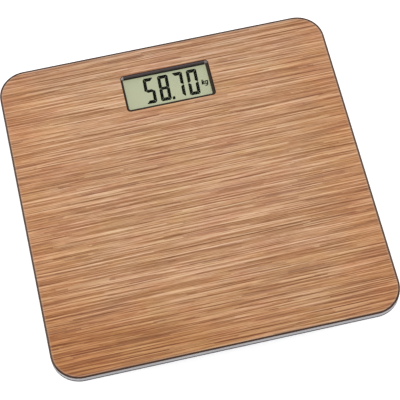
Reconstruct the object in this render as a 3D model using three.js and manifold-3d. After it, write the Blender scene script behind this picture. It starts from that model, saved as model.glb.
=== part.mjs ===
// Digital bathroom scale. A wood-look laminate lies on a silver-lacquered board; a display and
// battery unit is let into the board near its far edge; four feet under the corners each hold a
// load cell. Millimetres, +Z up. The origin is on the floor under the middle of the platform, and
// +Y points to the edge with the display.
import * as THREE from "three";
import { mergeVertices } from "three/addons/utils/BufferGeometryUtils.js";
import Module from "manifold-3d";

const wasm = await Module();
wasm.setup();

// ---- Driving dimensions ----

// Platform
const SIDE = 280;
const CORNER_RADIUS = 23;
const TOTAL_HEIGHT = 22;
const LAMINATE_THICKNESS = 1.2;
const LAMINATE_BEVEL_WIDTH = 1.5;
const LAMINATE_BEVEL_DROP = 0.15;
const BOARD_THICKNESS = 6.6;
const BOARD_EDGE_ROUND = 1.2;
const GLUE_GAP = 0.2; // between faces that touch on the real object
const FIT_GAP = 0.3; // round a piece that sits in a cut-out

// Display window
const WINDOW_Y = 98.75;
const WINDOW_WIDTH = 75.8;
const WINDOW_DEPTH = 34.8;
const WINDOW_RADIUS = 3;
const BEZEL_RIM = 1.7;
const BEZEL_FLANGE = 1.7; // how far the bezel reaches under the laminate
const BEZEL_REBATE = 1.1; // how far the lens and the LCD reach past the bezel's opening
const LCD_DEPTH = 4.8; // from the standing surface down to the LCD's face
const LENS_THICKNESS = 1;
const LCD_THICKNESS = 2.2;

// Display and battery unit under the board, in its own frame: the window's centre is its x = y = 0
const HOUSING_WIDTH = 100;
const HOUSING_DEPTH = 66;
const HOUSING_Y = -10;
const HOUSING_RADIUS = 8;
const HOUSING_WALL = 1.8;
const HOUSING_CEILING = 1.6;
const HOUSING_BOTTOM = 6.2;
const COVER_BOTTOM = 3.6;
const COVER_THICKNESS = 2.4;
const CIRCUIT_TOP = 11.6;
const CIRCUIT_THICKNESS = 1.2;
const CIRCUIT_WIDTH = 78;
const CIRCUIT_DEPTH = 34;
const CIRCUIT_Y = 2.5;
const HOLDER_OPENING_WIDTH = 68;
const HOLDER_OPENING_DEPTH = 29;
const ZEBRA_Y = 13.2;
const ZEBRA_LENGTH = 64;
const ZEBRA_WIDTH = 2;
const CHIP_X = -12;
const CHIP_Y = 6;
const CHIP_RADIUS = 5;
const CHIP_HEIGHT = 1.3;
const BOSS_X = 43.5;
const BOSS_Y = 27; // from the housing's own middle
const BOSS_RADIUS = 3.5;

// Coin cell and its door
const BATTERY_X = -20;
const BATTERY_Y = -28;
const CELL_RADIUS = 10;
const CELL_HEIGHT = 3.2;
const CELL_BOTTOM = 5.4;
const BAY_RADIUS = 11.2;
const BAY_WALL = 1.6;
const BAY_TOP = 10.2;
const DOOR_WIDTH = 26;
const DOOR_LENGTH = 27.6;
const DOOR_BOTTOM = 3.8;
const DOOR_THICKNESS = 1.2;
const DOOR_TONGUE = 0.7; // each side
const DOOR_RIDGES = 4; // under the finger that pushes the door out
const DOOR_RIDGE_LENGTH = 12;
const DOOR_RIDGE_WIDTH = 0.9;
const DOOR_RIDGE_PITCH = 2;
const LEAF_WIDTH = 5;
const LEAF_LENGTH = 17;
const LEAF_THICKNESS = 0.35;
const LEAF_DIMPLE_RADIUS = 1.4;
const SIDE_LEAF_HEIGHT = 2.6;
const SIDE_LEAF_THICKNESS = 0.4;

// Unit button
const BUTTON_X = 32;
const BUTTON_Y = -9;
const BUTTON_RADIUS = 4.5;
const BUTTON_TRAVEL = 0.8;
const BUTTON_FLANGE = 1.5;
const BUTTON_FLANGE_THICKNESS = 0.8;
const SWITCH_SIDE = 6;
const PLUNGER_RADIUS = 1.7;

// Feet
const FOOT_INSET = 38; // from the platform's edge to a foot's axis
const FOOT_RADIUS = 21.5;
const FOOT_FLANGE_RADIUS = 24;
const FOOT_BORE = 19.7;
const FOOT_BOTTOM = 5;
const EAR_DISTANCE = 27;
const EAR_RADIUS = 4.6;
const CAP_RADIUS = 19.2;
const CAP_BOTTOM = 1.6;
const PAD_RADIUS = 15;
const FOOT_TRAVEL = 0.8;
const CELL_PLATE_SIDE = 27;
const CELL_PLATE_BOTTOM = 7.9;
const CELL_PLATE_THICKNESS = 1.8;
const CELL_SLOT_INSET = 4.5; // from the plate's edge to the slot round its tongue
const CELL_SLOT_WIDTH = 2;
const GAUGE_LENGTH = 7;
const GAUGE_WIDTH = 4;
const EAR_THICKNESS = 2.4;
const PIVOT_RADIUS = 4;

// Sensor leads and their clips
const LEAD_WIDTH = 3.4;
const LEAD_THICKNESS = 1.1;
const LEAD_DROP = 1; // from the board's underside to the lead's middle
const LEAD_CHANNEL = 4.6;
const LEAD_BEND = 14;
const LEAD_START = 13; // from a foot's axis
const LEAD_SLANT_FROM_Y = -15; // a near lead slants in towards the housing between these two
const LEAD_SLANT_TO_Y = 25;
const NEAR_ENTRY_X = 30; // of the near leads into the housing
const CLIP_WIDTH = 10;
const CLIP_LENGTH = 7;
const NEAR_CLIP_Y = -48;
const MIDDLE_CLIP_Y = 44;

// Screws
const SCREW_RADIUS = 1.2;
const SCREW_HOLE_RADIUS = 1.5;
const SCREW_HEAD_RADIUS = 2.7;
const SCREW_HEAD_HEIGHT = 1.4;
const SCREW_GRIP = 4.6; // how far a screw's tip reaches into the board
const RECESS_LENGTH = 3;
const RECESS_WIDTH = 0.7;
const RECESS_DEPTH = 0.8;
const SCREW_SIDES = 14;

// Smoothness
const LARGE_ARC = 12; // steps in a quarter turn of the platform's corners
const SMALL_ARC = 5; // steps in a quarter turn of a small corner
const FOOT_SIDES = 32;

// ---- Heights worked out from them ----
const laminateBottom = TOTAL_HEIGHT - LAMINATE_THICKNESS;
const boardTop = laminateBottom - GLUE_GAP;
const boardBottom = boardTop - BOARD_THICKNESS;
const hungTop = boardBottom - GLUE_GAP; // top of everything fixed under the board
const lcdTop = TOTAL_HEIGHT - LCD_DEPTH;
const lcdBottom = lcdTop - LCD_THICKNESS;
const lensBottom = lcdTop + GLUE_GAP;
const coverTop = COVER_BOTTOM + COVER_THICKNESS;
const circuitBottom = CIRCUIT_TOP - CIRCUIT_THICKNESS;
const footOffset = SIDE / 2 - FOOT_INSET;
const leadZ = boardBottom - LEAD_DROP;

// ---- Materials ----
function standard(color, roughness, metalness = 0) {
  return new THREE.MeshStandardMaterial({ color, roughness, metalness });
}
const woodLook = standard(0xb98a63, 0.75);
const silverLacquer = standard(0xb4b2b4, 0.4, 0.3);
const darkPlastic = standard(0x2b272c, 0.45);
const clearPlastic = standard(0xe6ece4, 0.1);
const lcdGlass = standard(0xbec2a0, 0.3);
const greyPlastic = standard(0xd9d9d6, 0.55);
const whitePlastic = standard(0xe9e8e3, 0.5);
const blackRubber = standard(0x3c3b3a, 0.9);
const circuitGreen = standard(0x2e6b3c, 0.5);
const resinBlack = standard(0x141414, 0.35);
const nickelSteel = standard(0xc9c9c6, 0.3, 0.9);
const leadJacket = standard(0xdedbd2, 0.6);

// ---- Geometry helpers ----

// A closed three.js geometry as a manifold-3d solid.
function solidOf(geometry) {
  const bare = geometry.clone();
  bare.deleteAttribute("normal");
  bare.deleteAttribute("uv");
  const merged = mergeVertices(bare, 1e-4);
  const mesh = new wasm.Mesh({
    numProp: 3,
    vertProperties: merged.attributes.position.array,
    triVerts: new Uint32Array(merged.index.array),
  });
  return new wasm.Manifold(mesh);
}

// A manifold-3d solid as a three.js geometry.
function geometryOf(solid) {
  const mesh = solid.getMesh();
  const positions = new THREE.BufferAttribute(mesh.vertProperties, mesh.numProp);
  const geometry = new THREE.BufferGeometry();
  geometry.setAttribute("position", positions);
  geometry.setIndex(new THREE.BufferAttribute(mesh.triVerts, 1));
  geometry.computeVertexNormals();
  return geometry;
}

function cut(base, tools) {
  const solid = tools.reduce((left, tool) => left.subtract(solidOf(tool)), solidOf(base));
  return geometryOf(solid);
}

function join(pieces) {
  const [first, ...rest] = pieces.map(solidOf);
  return geometryOf(rest.reduce((sum, piece) => sum.add(piece), first));
}

// Corner points of a rounded rectangle, anticlockwise, steps + 1 points to a corner.
function roundedOutline(width, depth, radius, steps) {
  const centreX = width / 2 - radius;
  const centreY = depth / 2 - radius;
  const points = [];
  for (let corner = 0; corner < 4; corner++) {
    const signX = corner === 0 || corner === 3 ? 1 : -1;
    const signY = corner < 2 ? 1 : -1;
    for (let step = 0; step <= steps; step++) {
      const angle = ((corner + step / steps) * Math.PI) / 2;
      const x = signX * centreX + radius * Math.cos(angle);
      const y = signY * centreY + radius * Math.sin(angle);
      points.push(new THREE.Vector2(x, y));
    }
  }
  return points;
}

// A closed solid through level outlines, from the lowest to the highest. Each outline is convex
// and all have the same number of points.
function loft(levels) {
  const count = levels[0].outline.length;
  const positions = [];
  for (const { outline, z } of levels) {
    for (const point of outline) positions.push(point.x, point.y, z);
  }
  const index = [];
  for (let level = 0; level + 1 < levels.length; level++) {
    for (let i = 0; i < count; i++) {
      const here = level * count + i;
      const next = level * count + ((i + 1) % count);
      index.push(here, next, next + count, here, next + count, here + count);
    }
  }
  const top = (levels.length - 1) * count;
  for (let i = 1; i + 1 < count; i++) {
    index.push(0, i + 1, i, top, top + i, top + i + 1);
  }
  const geometry = new THREE.BufferGeometry();
  geometry.setAttribute("position", new THREE.Float32BufferAttribute(positions, 3));
  geometry.setIndex(index);
  geometry.computeVertexNormals();
  return geometry;
}

// A rounded slab between two heights.
function slab(width, depth, radius, bottom, top, steps = SMALL_ARC) {
  const outline = roundedOutline(width, depth, radius, steps);
  return loft([
    { outline, z: bottom },
    { outline, z: top },
  ]);
}

function box(width, depth, bottom, top) {
  return new THREE.BoxGeometry(width, depth, top - bottom).translate(0, 0, (bottom + top) / 2);
}

// A solid of revolution about Z. The profile is a list of [radius, height], from the lowest point
// on the axis, out, up and back to the axis.
function revolve(profile, sides) {
  const points = profile.map(([radius, height]) => new THREE.Vector2(radius, height));
  return new THREE.LatheGeometry(points, sides).rotateX(Math.PI / 2);
}

function cylinder(radius, bottom, top, sides) {
  return new THREE.CylinderGeometry(radius, radius, top - bottom, sides)
    .rotateX(Math.PI / 2)
    .translate(0, 0, (bottom + top) / 2);
}

function named(name, geometry, material) {
  const mesh = new THREE.Mesh(geometry, material);
  mesh.name = name;
  return mesh;
}

// ---- Platform ----

// Where the screws enter the board: two to a foot and four through the housing.
function screwPlaces() {
  const places = [];
  for (const foot of FEET) {
    for (const side of [-1, 1]) {
      const turn = foot.angle + (side * Math.PI) / 2;
      places.push([foot.x + EAR_DISTANCE * Math.cos(turn), foot.y + EAR_DISTANCE * Math.sin(turn)]);
    }
  }
  for (const [x, y] of BOSSES) places.push([x, WINDOW_Y + y]);
  return places;
}

function surfaceLaminate() {
  const full = roundedOutline(SIDE, SIDE, CORNER_RADIUS, LARGE_ARC);
  const topSide = SIDE - 2 * LAMINATE_BEVEL_WIDTH;
  const topRadius = CORNER_RADIUS - LAMINATE_BEVEL_WIDTH;
  const sheet = loft([
    { outline: full, z: laminateBottom },
    { outline: full, z: TOTAL_HEIGHT - LAMINATE_BEVEL_DROP },
    { outline: roundedOutline(topSide, topSide, topRadius, LARGE_ARC), z: TOTAL_HEIGHT },
  ]);
  const opening = slab(
    WINDOW_WIDTH,
    WINDOW_DEPTH,
    WINDOW_RADIUS,
    laminateBottom - 1,
    TOTAL_HEIGHT + 1,
  ).translate(0, WINDOW_Y, 0);
  return named("surface_laminate", cut(sheet, [opening]), woodLook);
}

function platformBoard() {
  const roundSteps = 3;
  const levels = [];
  for (let step = 0; step <= roundSteps; step++) {
    const angle = (step / roundSteps) * (Math.PI / 2);
    const inset = BOARD_EDGE_ROUND * (1 - Math.sin(angle));
    const side = SIDE - 2 * inset;
    const z = boardBottom + BOARD_EDGE_ROUND * (1 - Math.cos(angle));
    levels.push({ outline: roundedOutline(side, side, CORNER_RADIUS - inset, LARGE_ARC), z });
  }
  levels.push({ outline: roundedOutline(SIDE, SIDE, CORNER_RADIUS, LARGE_ARC), z: boardTop });
  const opening = slab(
    WINDOW_WIDTH + 2 * (BEZEL_FLANGE + FIT_GAP),
    WINDOW_DEPTH + 2 * (BEZEL_FLANGE + FIT_GAP),
    WINDOW_RADIUS + BEZEL_FLANGE,
    boardBottom - 1,
    boardTop + 1,
  ).translate(0, WINDOW_Y, 0);
  const holeTop = boardBottom + SCREW_GRIP + 0.4;
  const holes = screwPlaces().map(([x, y]) =>
    cylinder(SCREW_HOLE_RADIUS, boardBottom - 1, holeTop, SCREW_SIDES).translate(x, y, 0),
  );
  return named("platform_board", cut(loft(levels), [opening, ...holes]), silverLacquer);
}

// ---- Display ----
const openingWidth = WINDOW_WIDTH - 2 * BEZEL_RIM;
const openingDepth = WINDOW_DEPTH - 2 * BEZEL_RIM;
const panelWidth = openingWidth + 2 * BEZEL_REBATE - 2 * FIT_GAP;
const panelDepth = openingDepth + 2 * BEZEL_REBATE - 2 * FIT_GAP;

function windowBezel() {
  const lensTop = lensBottom + LENS_THICKNESS;
  const neck = slab(
    WINDOW_WIDTH - 2 * FIT_GAP,
    WINDOW_DEPTH - 2 * FIT_GAP,
    WINDOW_RADIUS - FIT_GAP,
    boardTop - 1,
    TOTAL_HEIGHT - 0.1,
  );
  const flange = slab(
    WINDOW_WIDTH + 2 * BEZEL_FLANGE,
    WINDOW_DEPTH + 2 * BEZEL_FLANGE,
    WINDOW_RADIUS + BEZEL_FLANGE,
    hungTop + FIT_GAP,
    boardTop - GLUE_GAP,
  );
  const opening = slab(openingWidth, openingDepth, 1.6, boardBottom - 1, TOTAL_HEIGHT + 1);
  const rebate = slab(
    openingWidth + 2 * BEZEL_REBATE,
    openingDepth + 2 * BEZEL_REBATE,
    1.2,
    boardBottom - 1,
    lensTop + GLUE_GAP,
  );
  return named("window_bezel", cut(join([flange, neck]), [opening, rebate]), darkPlastic);
}

function displayLens() {
  const sheet = slab(panelWidth, panelDepth, 1, lensBottom, lensBottom + LENS_THICKNESS);
  return named("display_lens", sheet, clearPlastic);
}

// Two glass plates: the lower one is longer, for the contacts along its two long edges.
function lcdPanel() {
  const split = lcdBottom + LCD_THICKNESS / 2;
  const lower = slab(panelWidth, panelDepth, 0.6, lcdBottom, split + 0.01);
  const upper = slab(panelWidth, panelDepth - 2.4, 0.6, split, lcdTop);
  return named("lcd_panel", join([lower, upper]), lcdGlass);
}

function lcdHolder() {
  const bottom = CIRCUIT_TOP + GLUE_GAP;
  const top = lcdBottom - GLUE_GAP;
  const frame = slab(panelWidth - 0.4, panelDepth - 0.4, 1, bottom, top);
  const inner = slab(HOLDER_OPENING_WIDTH, HOLDER_OPENING_DEPTH, 0.8, bottom - 1, top + 1);
  return named("lcd_holder", cut(frame, [inner]), whitePlastic);
}

function zebraStrip(name, y) {
  const strip = box(ZEBRA_LENGTH, ZEBRA_WIDTH, CIRCUIT_TOP + GLUE_GAP, lcdBottom - GLUE_GAP);
  return named(name, strip.translate(0, y, 0), blackRubber);
}

function mainBoard() {
  const sheet = slab(CIRCUIT_WIDTH, CIRCUIT_DEPTH, 1.5, circuitBottom, CIRCUIT_TOP);
  return named("main_board", sheet.translate(0, CIRCUIT_Y, 0), circuitGreen);
}

// A blob of resin over the bare chip, under the circuit board.
function chipCover() {
  const top = circuitBottom - GLUE_GAP;
  const profile = [
    [0, top - CHIP_HEIGHT],
    [0.48 * CHIP_RADIUS, top - 0.88 * CHIP_HEIGHT],
    [0.84 * CHIP_RADIUS, top - 0.46 * CHIP_HEIGHT],
    [CHIP_RADIUS, top],
    [0, top],
  ];
  return named("chip_cover", revolve(profile, 20).translate(CHIP_X, CHIP_Y, 0), resinBlack);
}

function unitSwitch() {
  const top = circuitBottom - GLUE_GAP;
  const pressedTop = coverTop + GLUE_GAP + BUTTON_FLANGE_THICKNESS + BUTTON_TRAVEL;
  const body = box(SWITCH_SIDE, SWITCH_SIDE, pressedTop + 0.8, top);
  const plunger = cylinder(PLUNGER_RADIUS, pressedTop + GLUE_GAP, top - 0.5, 16);
  const geometry = join([body, plunger]).translate(BUTTON_X, BUTTON_Y, 0);
  return named("unit_switch", geometry, resinBlack);
}

function unitButton() {
  const flangeBottom = coverTop + GLUE_GAP;
  const profile = [
    [0, COVER_BOTTOM + 0.2],
    [BUTTON_RADIUS - 0.4, COVER_BOTTOM + 0.2],
    [BUTTON_RADIUS, COVER_BOTTOM + 0.6],
    [BUTTON_RADIUS, flangeBottom],
    [BUTTON_RADIUS + BUTTON_FLANGE, flangeBottom],
    [BUTTON_RADIUS + BUTTON_FLANGE, flangeBottom + BUTTON_FLANGE_THICKNESS],
    [0, flangeBottom + BUTTON_FLANGE_THICKNESS],
  ];
  const geometry = revolve(profile, 24).translate(BUTTON_X, BUTTON_Y, 0);
  return named("unit_button", geometry, darkPlastic);
}

// ---- Housing of the display and battery unit ----
const BOSSES = [
  [-BOSS_X, HOUSING_Y - BOSS_Y],
  [BOSS_X, HOUSING_Y - BOSS_Y],
  [-BOSS_X, HOUSING_Y + BOSS_Y],
  [BOSS_X, HOUSING_Y + BOSS_Y],
];

// The leads enter two through the near wall and one through each side wall.
const nearEntryY = HOUSING_Y - HOUSING_DEPTH / 2;

function displayHousing() {
  const shell = slab(
    HOUSING_WIDTH,
    HOUSING_DEPTH,
    HOUSING_RADIUS,
    HOUSING_BOTTOM,
    hungTop,
  ).translate(0, HOUSING_Y, 0);
  const ceiling = hungTop - HOUSING_CEILING;
  const cavity = slab(
    HOUSING_WIDTH - 2 * HOUSING_WALL,
    HOUSING_DEPTH - 2 * HOUSING_WALL,
    HOUSING_RADIUS - HOUSING_WALL,
    HOUSING_BOTTOM - 1,
    ceiling,
  ).translate(0, HOUSING_Y, 0);
  const window = slab(WINDOW_WIDTH, WINDOW_DEPTH, 1.5, ceiling - 1, hungTop + 1);
  const bosses = BOSSES.map(([x, y]) =>
    cylinder(BOSS_RADIUS, HOUSING_BOTTOM + GLUE_GAP, ceiling + 0.5, 20).translate(x, y, 0),
  );
  const holes = BOSSES.map(([x, y]) =>
    cylinder(SCREW_HOLE_RADIUS, HOUSING_BOTTOM - 1, hungTop + 1, SCREW_SIDES).translate(x, y, 0),
  );
  const entries = [];
  const depth = 6;
  for (const side of [-1, 1]) {
    const near = box(LEAD_CHANNEL, depth, ceiling - 0.2, hungTop + 1);
    entries.push(near.translate(side * NEAR_ENTRY_X, nearEntryY + depth / 2 - 1, 0));
    const across = box(depth, LEAD_CHANNEL, ceiling - 0.2, hungTop + 1);
    const x = HOUSING_WIDTH / 2 - depth / 2 + 1;
    entries.push(across.translate(side * x, footOffset - WINDOW_Y, 0));
  }
  const hollow = cut(shell, [cavity]);
  const geometry = cut(join([hollow, ...bosses]), [window, ...holes, ...entries]);
  return named("display_housing", geometry, greyPlastic);
}

function housingCover() {
  const width = HOUSING_WIDTH - 0.6;
  const depth = HOUSING_DEPTH - 0.6;
  const plate = slab(width, depth, HOUSING_RADIUS - 0.3, COVER_BOTTOM, coverTop);
  plate.translate(0, HOUSING_Y, 0);
  const bayOuter = cylinder(BAY_RADIUS + BAY_WALL, coverTop - 0.5, BAY_TOP, 32);
  const bayInner = cylinder(BAY_RADIUS, coverTop, BAY_TOP - 0.7, 32);
  const cellHole = cylinder(CELL_RADIUS + 0.5, COVER_BOTTOM - 1, coverTop + 0.1, 32);
  for (const round of [bayOuter, bayInner, cellHole]) round.translate(BATTERY_X, BATTERY_Y, 0);

  // The door's pocket and rail grooves run out through the cover's near edge.
  const pocketTop = DOOR_BOTTOM + DOOR_THICKNESS + GLUE_GAP;
  const pocketEnd = HOUSING_Y - depth / 2 + DOOR_LENGTH + 0.5;
  const pocketLength = DOOR_LENGTH + 5;
  const pocketY = pocketEnd - pocketLength / 2;
  const pocket = box(DOOR_WIDTH + 0.6, pocketLength, COVER_BOTTOM - 1, pocketTop);
  const railWidth = DOOR_WIDTH + 2 * DOOR_TONGUE + 0.6;
  const rails = box(railWidth, pocketLength, DOOR_BOTTOM + 0.3, pocketTop);
  for (const space of [pocket, rails]) space.translate(BATTERY_X, pocketY, 0);

  const buttonHole = cylinder(BUTTON_RADIUS + FIT_GAP, COVER_BOTTOM - 1, coverTop + 1, 24);
  buttonHole.translate(BUTTON_X, BUTTON_Y, 0);
  const screwHoles = BOSSES.flatMap(([x, y]) => [
    cylinder(SCREW_HOLE_RADIUS, COVER_BOTTOM - 1, coverTop + 1, SCREW_SIDES).translate(x, y, 0),
    cylinder(SCREW_HEAD_RADIUS + 0.4, COVER_BOTTOM - 1, COVER_BOTTOM + 1.7, 20).translate(x, y, 0),
  ]);
  const walls = join([plate, bayOuter]);
  const tools = [bayInner, cellHole, pocket, rails, buttonHole, ...screwHoles];
  return named("housing_cover", cut(walls, tools), greyPlastic);
}

function batteryDoor() {
  const bottom = DOOR_BOTTOM;
  const top = bottom + DOOR_THICKNESS;
  const plate = box(DOOR_WIDTH, DOOR_LENGTH, bottom, top);
  const tongues = box(DOOR_WIDTH + 2 * DOOR_TONGUE, DOOR_LENGTH - 4, bottom + 0.5, top);
  const ridges = [];
  for (let row = 0; row < DOOR_RIDGES; row++) {
    const ridge = box(DOOR_RIDGE_LENGTH, DOOR_RIDGE_WIDTH, COVER_BOTTOM, bottom + 0.1);
    ridges.push(ridge.translate(0, -8 + DOOR_RIDGE_PITCH * row, 0));
  }
  const geometry = join([plate, tongues, ...ridges]);
  const y = HOUSING_Y - (HOUSING_DEPTH - 0.6) / 2 + DOOR_LENGTH / 2 + 0.2;
  return named("battery_door", geometry.translate(BATTERY_X, y, 0), greyPlastic);
}

function coinCell() {
  const top = CELL_BOTTOM + CELL_HEIGHT;
  const profile = [
    [0, CELL_BOTTOM],
    [CELL_RADIUS - 0.3, CELL_BOTTOM],
    [CELL_RADIUS, CELL_BOTTOM + 0.3],
    [CELL_RADIUS, top - 0.5],
    [CELL_RADIUS - 0.9, top - 0.3],
    [CELL_RADIUS - 1.2, top],
    [0, top],
  ];
  const geometry = revolve(profile, 32).translate(BATTERY_X, BATTERY_Y, 0);
  return named("coin_cell", geometry, nickelSteel);
}

// A leaf over the cell, with a dimple that presses on its cap.
function negativeContact() {
  const leafBottom = CELL_BOTTOM + CELL_HEIGHT + 0.35;
  const leaf = slab(LEAF_WIDTH, LEAF_LENGTH, 1, leafBottom, leafBottom + LEAF_THICKNESS);
  const dimple = cylinder(LEAF_DIMPLE_RADIUS, leafBottom - 0.2, leafBottom + 0.1, 12);
  const geometry = join([leaf, dimple]).translate(BATTERY_X, BATTERY_Y, 0);
  return named("battery_contact_negative", geometry, nickelSteel);
}

// A curved leaf beside the cell's rim.
function positiveContact() {
  const inner = CELL_RADIUS + 0.35;
  const outer = inner + SIDE_LEAF_THICKNESS;
  const span = Math.PI / 5;
  const leaf = new THREE.Shape();
  leaf.absarc(0, 0, outer, -span, span, false);
  leaf.absarc(0, 0, inner, span, -span, true);
  const geometry = new THREE.ExtrudeGeometry(leaf, {
    depth: SIDE_LEAF_HEIGHT,
    bevelEnabled: false,
    curveSegments: 10,
  });
  geometry.translate(BATTERY_X, BATTERY_Y, coverTop + 0.2);
  return named("battery_contact_positive", geometry, nickelSteel);
}

// A pan-head screw with a cross recess. Its head is at the bottom and its tip at the top.
function screw(name, headBottom, tip) {
  const headTop = headBottom + SCREW_HEAD_HEIGHT;
  const profile = [
    [0, headBottom],
    [SCREW_HEAD_RADIUS - 0.7, headBottom],
    [SCREW_HEAD_RADIUS, headBottom + 0.7],
    [SCREW_HEAD_RADIUS, headTop],
    [SCREW_RADIUS, headTop],
    [SCREW_RADIUS, tip - 1.2],
    [0, tip],
  ];
  const recess = [
    box(RECESS_LENGTH, RECESS_WIDTH, headBottom - 1, headBottom + RECESS_DEPTH),
    box(RECESS_WIDTH, RECESS_LENGTH, headBottom - 1, headBottom + RECESS_DEPTH),
  ];
  return named(name, cut(revolve(profile, SCREW_SIDES), recess), nickelSteel);
}

function displayUnit() {
  const unit = new THREE.Group();
  unit.position.set(0, WINDOW_Y, 0);
  unit.add(
    windowBezel(),
    displayLens(),
    lcdPanel(),
    lcdHolder(),
    zebraStrip("zebra_strip_near", -ZEBRA_Y),
    zebraStrip("zebra_strip_far", ZEBRA_Y),
    mainBoard(),
    chipCover(),
    unitSwitch(),
    unitButton(),
    displayHousing(),
    housingCover(),
    batteryDoor(),
    coinCell(),
    negativeContact(),
    positiveContact(),
  );
  BOSSES.forEach(([x, y], i) => {
    const fixing = screw(`cover_screw_${i + 1}`, COVER_BOTTOM + 0.1, boardBottom + SCREW_GRIP);
    fixing.position.set(x, y, 0);
    unit.add(fixing);
  });
  return unit;
}

// ---- Feet, each in its own frame: its axis is Z, and its lead leaves along +X ----
const FEET = [
  { label: "near_left", x: -footOffset, y: -footOffset, angle: Math.PI / 2 },
  { label: "near_right", x: footOffset, y: -footOffset, angle: Math.PI / 2 },
  { label: "far_left", x: -footOffset, y: footOffset, angle: 0 },
  { label: "far_right", x: footOffset, y: footOffset, angle: Math.PI },
];

function footHousing(label) {
  const ceiling = hungTop - 2.2;
  const pivotBottom = CELL_PLATE_BOTTOM + CELL_PLATE_THICKNESS + GLUE_GAP;
  const profile = [
    [0, pivotBottom],
    [PIVOT_RADIUS - 1, pivotBottom],
    [PIVOT_RADIUS, pivotBottom + 0.6],
    [PIVOT_RADIUS, ceiling],
    [FOOT_BORE, ceiling],
    [FOOT_BORE, FOOT_BOTTOM],
    [FOOT_RADIUS - 0.5, FOOT_BOTTOM],
    [FOOT_RADIUS, FOOT_BOTTOM + 0.5],
    [FOOT_RADIUS, hungTop - 1.8],
    [FOOT_FLANGE_RADIUS, hungTop - 1.2],
    [FOOT_FLANGE_RADIUS, hungTop],
    [0, hungTop],
  ];
  const ears = [-1, 1].map((side) =>
    cylinder(EAR_RADIUS, hungTop - EAR_THICKNESS, hungTop, 20).translate(0, side * EAR_DISTANCE, 0),
  );
  const holes = [-1, 1].map((side) =>
    cylinder(SCREW_HOLE_RADIUS, ceiling - 1, hungTop + 1, SCREW_SIDES).translate(
      0,
      side * EAR_DISTANCE,
      0,
    ),
  );
  const leadSlot = box(FOOT_FLANGE_RADIUS + 2 - LEAD_START + 1, LEAD_CHANNEL, ceiling - 0.1, hungTop + 1);
  leadSlot.translate((FOOT_FLANGE_RADIUS + 2 + LEAD_START - 1) / 2, 0, 0);
  const body = join([revolve(profile, FOOT_SIDES), ...ears]);
  return named(`foot_housing_${label}`, cut(body, [...holes, leadSlot]), whitePlastic);
}

// A spring-steel plate whose middle tongue bends under load; the pivot rests on the tongue.
function loadCell(label) {
  const half = CELL_PLATE_SIDE / 2;
  const corner = 4;
  const plate = new THREE.Shape(roundedOutline(CELL_PLATE_SIDE, CELL_PLATE_SIDE, corner, 4));
  const slotOuter = half - CELL_SLOT_INSET;
  const slotInner = slotOuter - CELL_SLOT_WIDTH;
  const slot = new THREE.Path([
    new THREE.Vector2(-slotOuter, slotOuter),
    new THREE.Vector2(-slotOuter, -slotOuter),
    new THREE.Vector2(slotOuter, -slotOuter),
    new THREE.Vector2(slotOuter, slotOuter),
    new THREE.Vector2(slotInner, slotOuter),
    new THREE.Vector2(slotInner, -slotInner),
    new THREE.Vector2(-slotInner, -slotInner),
    new THREE.Vector2(-slotInner, slotOuter),
  ]);
  plate.holes.push(slot);
  const geometry = new THREE.ExtrudeGeometry(plate, {
    depth: CELL_PLATE_THICKNESS,
    bevelEnabled: false,
  });
  return named(`load_cell_${label}`, geometry.translate(0, 0, CELL_PLATE_BOTTOM), nickelSteel);
}

function strainGauge(label) {
  const bottom = CELL_PLATE_BOTTOM + CELL_PLATE_THICKNESS + GLUE_GAP;
  const film = slab(GAUGE_LENGTH, GAUGE_WIDTH, 0.8, bottom, bottom + 0.5, 3);
  return named(`strain_gauge_${label}`, film.translate(0, CELL_PLATE_SIDE / 2 - 2.4, 0), whitePlastic);
}

function footCap(label) {
  const rimTop = CELL_PLATE_BOTTOM - FOOT_TRAVEL - GLUE_GAP;
  const floorTop = CAP_BOTTOM + 1.8;
  const padRecess = CAP_BOTTOM + 0.6;
  const rimInner = CELL_PLATE_SIDE / 2 - 2.5;
  const profile = [
    [0, padRecess],
    [PAD_RADIUS + FIT_GAP, padRecess],
    [PAD_RADIUS + FIT_GAP, CAP_BOTTOM],
    [CAP_RADIUS - 1.2, CAP_BOTTOM],
    [CAP_RADIUS, CAP_BOTTOM + 1.2],
    [CAP_RADIUS, rimTop - 1.4],
    [rimInner + 2.2, rimTop - 1.4],
    [rimInner + 2.2, rimTop],
    [rimInner, rimTop],
    [rimInner, floorTop],
    [0, floorTop],
  ];
  return named(`foot_cap_${label}`, revolve(profile, FOOT_SIDES), whitePlastic);
}

function footPad(label) {
  const top = CAP_BOTTOM + 0.4;
  const profile = [
    [0, 0],
    [PAD_RADIUS - 0.8, 0],
    [PAD_RADIUS, 0.8],
    [PAD_RADIUS, top],
    [0, top],
  ];
  return named(`foot_pad_${label}`, revolve(profile, FOOT_SIDES), blackRubber);
}

function foot({ label, x, y, angle }) {
  const group = new THREE.Group();
  group.position.set(x, y, 0);
  group.rotation.z = angle;
  group.add(footHousing(label), loadCell(label), strainGauge(label), footCap(label), footPad(label));
  for (const side of [-1, 1]) {
    const end = side < 0 ? "a" : "b";
    const headBottom = hungTop - EAR_THICKNESS - GLUE_GAP - SCREW_HEAD_HEIGHT;
    const fixing = screw(`foot_screw_${label}_${end}`, headBottom, boardBottom + SCREW_GRIP);
    fixing.position.set(0, side * EAR_DISTANCE, 0);
    group.add(fixing);
  }
  return group;
}

// ---- Sensor leads: flat three-core leads that lie along the board's underside ----

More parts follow.
